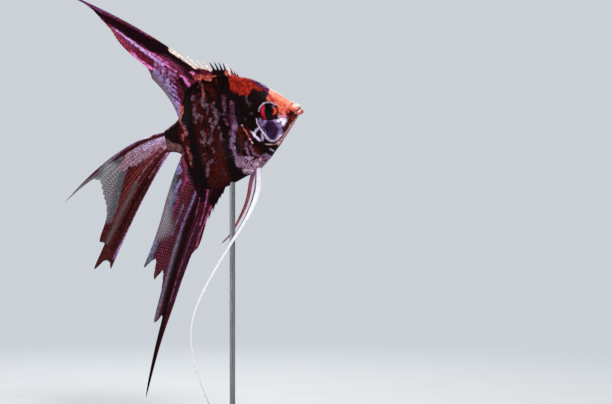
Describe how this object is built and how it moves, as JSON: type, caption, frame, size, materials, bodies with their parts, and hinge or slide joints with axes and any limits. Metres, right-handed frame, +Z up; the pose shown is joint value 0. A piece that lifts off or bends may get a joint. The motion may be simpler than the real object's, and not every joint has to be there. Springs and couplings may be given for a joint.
{
  "type": "veil-tailed freshwater angelfish display model",
  "caption": "Life-size still model of a veil-tailed marbled angelfish, swimming nose-up with long trailing fins, held by a thin rod over a flat round-cornered board.",
  "frame": {"origin": "centre of the stand board's underside", "axes": "+X the way the fish swims, +Y its left side, +Z up"},
  "size_m": [0.1546, 0.066, 0.2399],
  "materials": {
    "head_skin": "moist orange-red skin, cream on the forehead, marbled dark on the jaw and behind the eye",
    "gill_cover": "dark purple with silver-lilac edges and an orange rear rim",
    "flank_skin": "near-black maroon marbled with mauve-grey, under small scales",
    "eye": "polished red iris with a black pupil",
    "dark_fin": "thin maroon and lilac striped web over fine rays",
    "clear_fin": "thin clear lilac-grey web over fine rays",
    "white_fin": "satin white feeler",
    "stand_board": "satin-lacquered dark walnut",
    "stand_metal": "brushed rod and collar"
  },
  "bodies": {
    "root": {"head": "head_skin", "lower_jaw": "head_skin", "gill_cover_right": "gill_cover", "gill_cover_left": "gill_cover", "trunk": "flank_skin", "tail_stalk": "flank_skin", "eye_right": "eye", "eye_left": "eye", "dorsal_fin": "dark_fin", "anal_fin": "dark_fin", "caudal_fin": "dark_fin", "pectoral_fin_right": "clear_fin", "pectoral_fin_left": "clear_fin", "pelvic_fin_right": "white_fin", "pelvic_fin_left": "dark_fin", "stand_board": "stand_board", "stand_rod": "stand_metal", "stand_collar": "stand_metal"}
  },
  "joints": []
}
